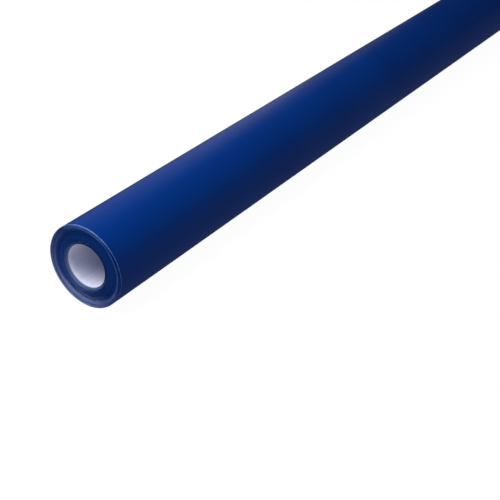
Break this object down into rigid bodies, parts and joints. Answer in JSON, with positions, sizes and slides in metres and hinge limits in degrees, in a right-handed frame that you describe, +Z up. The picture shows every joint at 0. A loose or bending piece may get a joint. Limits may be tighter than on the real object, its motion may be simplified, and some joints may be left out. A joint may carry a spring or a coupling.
{
  "type": "roll of sign vinyl",
  "caption": "Long roll of matt blue self-adhesive sign film on its release liner, wound on an open paperboard core, with a taped-down tail that lifts and peels.",
  "frame": {"origin": "middle of the core's bore, halfway along the core", "axes": "+Y along the roll's axis, from the end where the outer turns have run out towards the other end; +Z up as the roll lies; the free tail is on the -X side"},
  "size_m": [0.0987, 1.222, 0.0977],
  "materials": {
    "lining_paper": "smooth white paper",
    "core_board": "grey recycled board",
    "core_wrap": "blue-grey wrapping ply",
    "start_tape": "double-sided tape",
    "wound_web": "cut edges of many turns",
    "film": "satin calendered vinyl",
    "liner": "coated release paper",
    "masking_tape": "creped masking tape"
  },
  "bodies": {
    "core_and_inner_turns": {"core_lining_ply": "lining_paper", "core_board_ply_1": "core_board", "core_board_ply_2": "core_board", "core_board_ply_3": "core_board", "core_outer_ply": "core_wrap", "start_tape": "start_tape", "inner_windings": "wound_web"},
    "outer_turns": {"outer_windings": "wound_web"},
    "rim_turns": {"rim_windings": "wound_web", "last_turn_liner": "liner", "last_turn_film": "film"},
    "tail": {"tail_liner": "liner", "tail_film": "film"},
    "peeling_film": {"peel_film": "film"},
    "tab_near": {"tape_tab_near": "masking_tape"},
    "tab_middle": {"tape_tab_middle": "masking_tape"},
    "tab_far": {"tape_tab_far": "masking_tape"}
  },
  "joints": [
    {"name": "outer_turns_run_out", "type": "slide", "parent": "core_and_inner_turns", "child": "outer_turns", "axis": [0, 1, 0], "range_m": [-0.012, 0.012]},
    {"name": "rim_turns_run_out", "type": "slide", "parent": "outer_turns", "child": "rim_turns", "axis": [0, 1, 0], "range_m": [-0.008, 0.008]},
    {"name": "tail_lift", "type": "hinge", "parent": "rim_turns", "child": "tail", "pos_m": [-0.04436, 0, -0.02069], "axis": [0, -1, 0], "range_deg": [0, 75]},
    {"name": "peel_film_lift", "type": "hinge", "parent": "tail", "child": "peeling_film", "pos_m": [-0.04822, 0, -0.0085], "axis": [0, -1, 0], "range_deg": [0, 70]},
    {"name": "tab_near_peel", "type": "hinge", "parent": "peeling_film", "child": "tab_near", "pos_m": [-0.04915, 0, 0], "axis": [0, -1, 0], "range_deg": [0, 60]},
    {"name": "tab_middle_peel", "type": "hinge", "parent": "peeling_film", "child": "tab_middle", "pos_m": [-0.04915, 0, 0], "axis": [0, -1, 0], "range_deg": [0, 60]},
    {"name": "tab_far_peel", "type": "hinge", "parent": "peeling_film", "child": "tab_far", "pos_m": [-0.04915, 0, 0], "axis": [0, -1, 0], "range_deg": [0, 60]}
  ]
}
